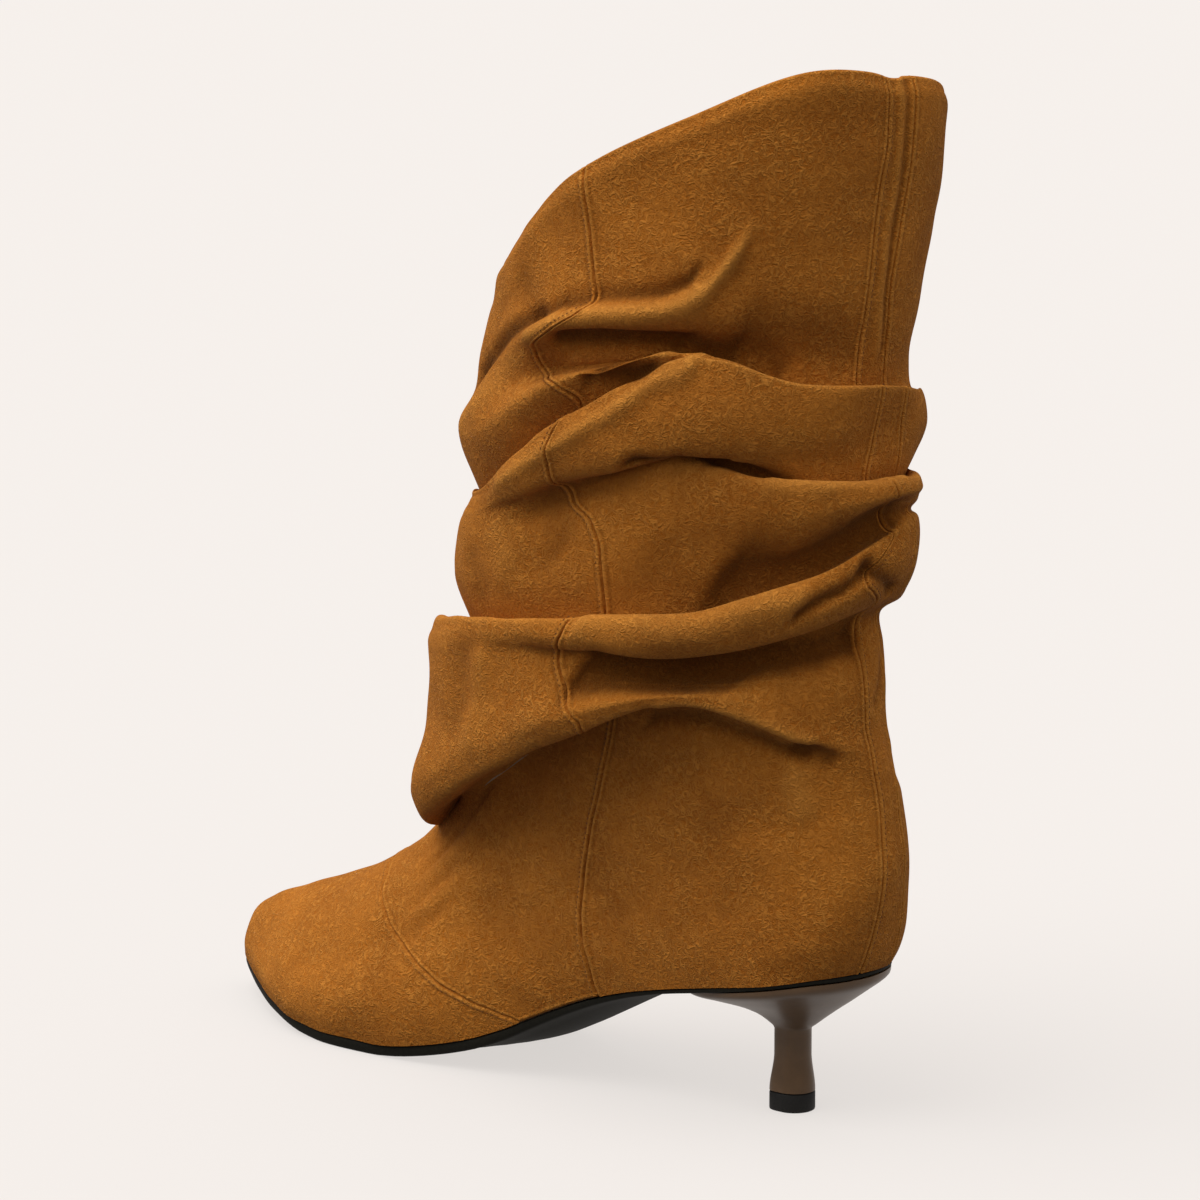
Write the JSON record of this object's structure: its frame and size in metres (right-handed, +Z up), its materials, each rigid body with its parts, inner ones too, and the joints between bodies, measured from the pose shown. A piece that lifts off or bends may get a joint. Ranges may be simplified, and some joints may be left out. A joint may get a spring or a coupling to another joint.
{
  "type": "slouch boot",
  "caption": "Left slouch boot in suede: pointed toe, soft folded shaft with a collar that slopes down to the front, and a slim mid heel.",
  "frame": {"origin": "on the ground plane, under the middle of the boot's bounding box", "axes": "+X towards the toe, +Y towards the outer side of the left foot, +Z up"},
  "size_m": [0.2724, 0.1168, 0.3195],
  "materials": {
    "suede": "napped suede, tan",
    "sole": "satin black",
    "board": "smooth",
    "heel": "semi-gloss dark brown",
    "lift": "matt black"
  },
  "bodies": {
    "root": {"upper": "suede", "outsole": "sole", "insole": "board", "heel": "heel", "top_lift": "lift"}
  },
  "joints": []
}
